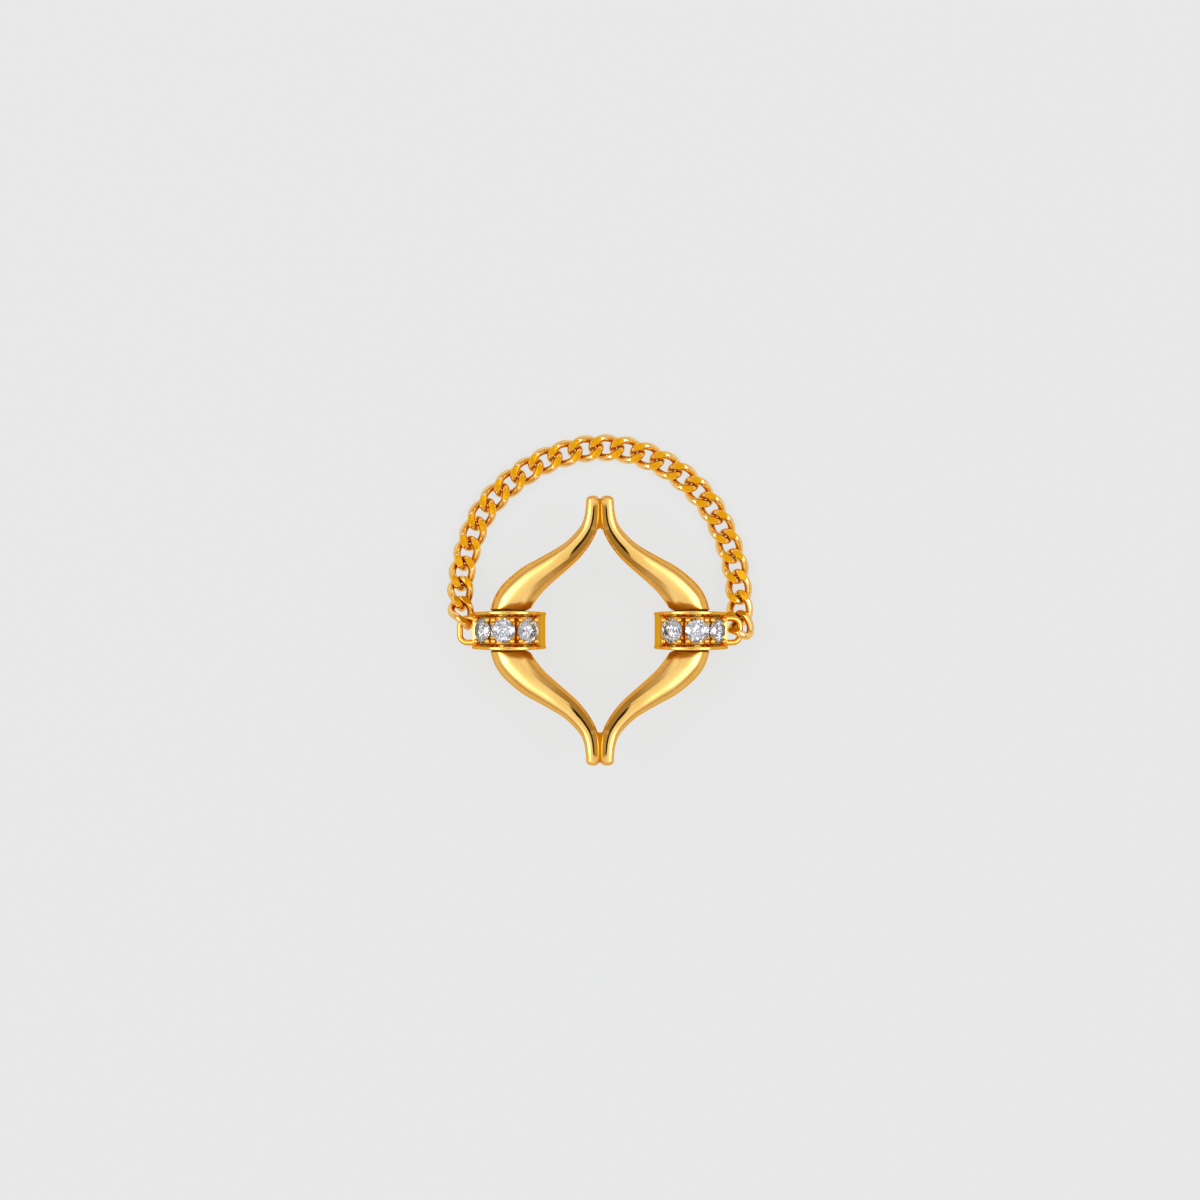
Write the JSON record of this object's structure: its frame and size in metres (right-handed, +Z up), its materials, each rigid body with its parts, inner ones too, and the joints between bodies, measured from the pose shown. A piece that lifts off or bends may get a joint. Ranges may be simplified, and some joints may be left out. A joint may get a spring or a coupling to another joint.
{
  "type": "finger ring",
  "caption": "Openwork lozenge finger ring of tapering horn-shaped arms, with pave-set collars at its side corners and a flat-cut curb chain as its band, laid face up.",
  "frame": {"origin": "on the surface that the ring lies on, straight below the centre of the lozenge", "axes": "+Z up, out of the ring's face; +Y toward the lozenge's upper point and the chain's arc; +X toward the right collar"},
  "size_m": [0.0215, 0.0231, 0.0052],
  "materials": {
    "plate_gold": "polished 18 carat yellow gold",
    "chain_gold": "flat-cut and polished 18 carat yellow gold",
    "diamond": "polished, brilliant cut"
  },
  "bodies": {
    "root": {"frame": "plate_gold", "left_collar": "plate_gold", "right_collar": "plate_gold", "left_stone_1": "diamond", "left_stone_2": "diamond", "left_stone_3": "diamond", "right_stone_1": "diamond", "right_stone_2": "diamond", "right_stone_3": "diamond", "link_1": "chain_gold", "link_2": "chain_gold", "link_3": "chain_gold", "link_4": "chain_gold", "link_5": "chain_gold", "link_6": "chain_gold", "link_7": "chain_gold", "link_8": "chain_gold", "link_9": "chain_gold", "link_10": "chain_gold", "link_11": "chain_gold", "link_12": "chain_gold", "link_13": "chain_gold", "link_14": "chain_gold", "link_15": "chain_gold", "link_16": "chain_gold", "link_17": "chain_gold", "link_18": "chain_gold", "link_19": "chain_gold", "link_20": "chain_gold", "link_21": "chain_gold", "link_22": "chain_gold", "link_23": "chain_gold", "link_24": "chain_gold", "link_25": "chain_gold"}
  },
  "joints": []
}
